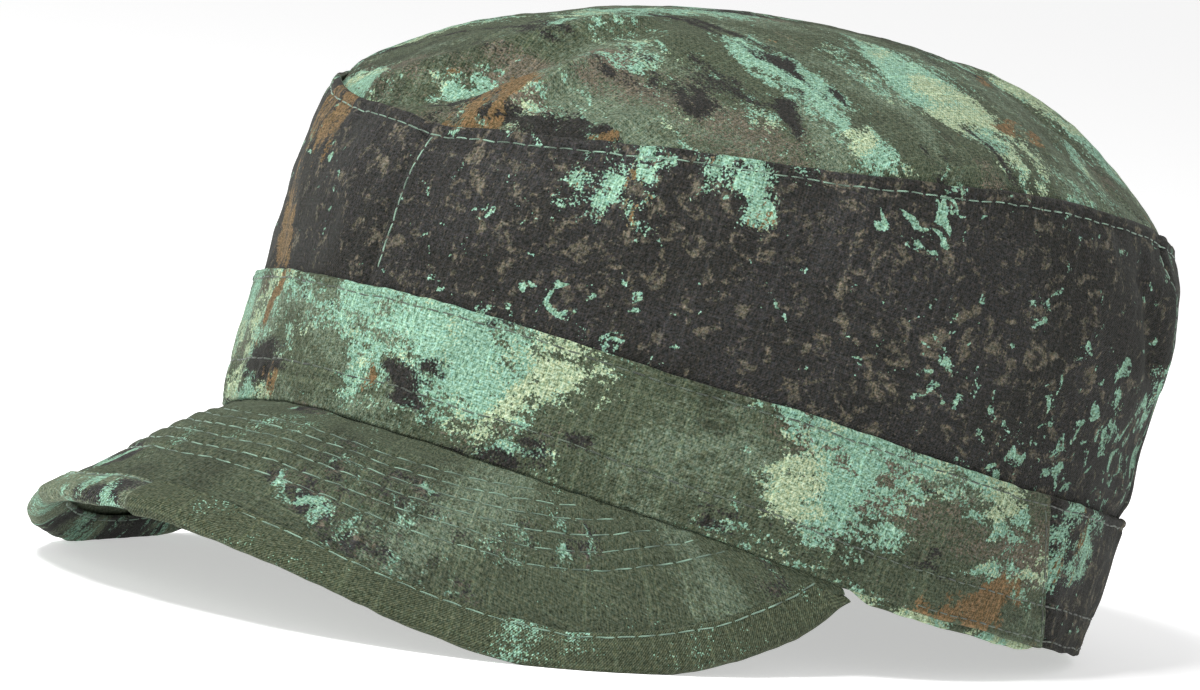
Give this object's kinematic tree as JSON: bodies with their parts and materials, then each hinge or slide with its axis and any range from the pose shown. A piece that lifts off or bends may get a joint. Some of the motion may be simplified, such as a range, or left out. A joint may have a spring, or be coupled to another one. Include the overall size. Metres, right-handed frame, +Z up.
{
  "type": "patrol cap",
  "caption": "Soft cloth patrol cap with a round flat-sided crown, a wide band, a curved stitched peak with a bound edge and an open head hollow.",
  "frame": {"origin": "on the floor, below the centre of the cap's bounding box", "axes": "+Z up from the floor, -Y to the front where the peak points, +X to the wearer's left"},
  "size_m": [0.1758, 0.2702, 0.1273],
  "materials": {
    "crown_cloth": null,
    "side_cloth": null,
    "band_cloth": null,
    "sweatband_cloth": "matte cotton twill",
    "peak_cloth": "matte cotton ripstop over a firm peak, stitched in rows",
    "binding_cloth": "matte cotton cut on the bias"
  },
  "bodies": {
    "root": {"top_panel": "crown_cloth", "side_panel_left": "side_cloth", "side_panel_right": "side_cloth", "back_panel": "side_cloth", "band_front": "band_cloth", "band_back": "band_cloth", "sweatband": "sweatband_cloth", "peak_top": "peak_cloth", "peak_underside": "peak_cloth", "peak_binding": "binding_cloth"}
  },
  "joints": []
}
